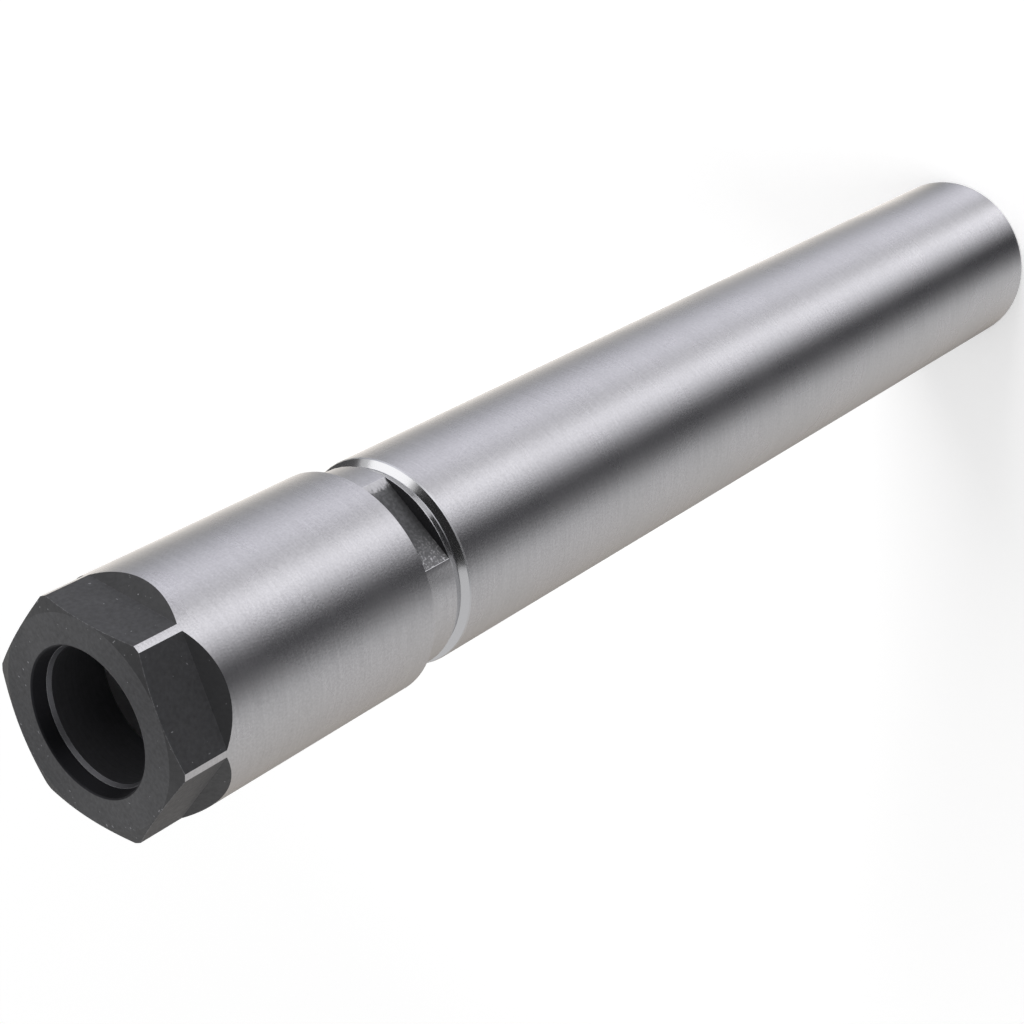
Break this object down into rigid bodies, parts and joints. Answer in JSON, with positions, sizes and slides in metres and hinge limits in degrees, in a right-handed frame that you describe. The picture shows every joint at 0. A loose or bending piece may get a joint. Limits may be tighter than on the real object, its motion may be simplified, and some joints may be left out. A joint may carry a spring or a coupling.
{
  "type": "collet chuck holder",
  "caption": "Straight-shank collet chuck holder: ground cylindrical shank, necked body with spanner flats and a sleeve nut with a hexagonal nose.",
  "frame": {"origin": "centre of the shank's rear face, which the holder stands on", "axes": "+Z along the axis from the shank to the nose; -Y squarely out of one spanner flat of the neck"},
  "size_m": [0.027, 0.027, 0.1813],
  "materials": {
    "ground_shank_steel": "ground",
    "nosepiece_steel": "ground outside, black oxide on the hexagon and inside",
    "hardened_ring_steel": "hardened and blackened, ground cone",
    "spring_ring_steel": "phosphated spring steel",
    "blackened_screw_steel": "black oxide"
  },
  "bodies": {
    "body": {"chuck_body": "ground_shank_steel"},
    "ring": {"thrust_ring": "hardened_ring_steel"},
    "nut": {"nosepiece": "nosepiece_steel", "retaining_ring": "spring_ring_steel"},
    "stop": {"stop_screw": "blackened_screw_steel"}
  },
  "joints": [
    {"name": "nosepiece_travel", "type": "slide", "parent": "body", "child": "ring", "axis": [0, 0, 1], "range_m": [0, 0.0128]},
    {"name": "nosepiece_turn", "type": "hinge", "parent": "ring", "child": "nut", "pos_m": [0, 0, 0.1744], "axis": [0, 0, 1], "range_deg": [0, 3060]},
    {"name": "stop_screw_travel", "type": "slide", "parent": "body", "child": "stop", "axis": [0, 0, 1], "range_m": [-0.0105, 0.018]}
  ],
  "couplings": [
    {"joint": "nosepiece_travel", "follows": "nosepiece_turn", "m_per_rad": 0.00023873}
  ]
}
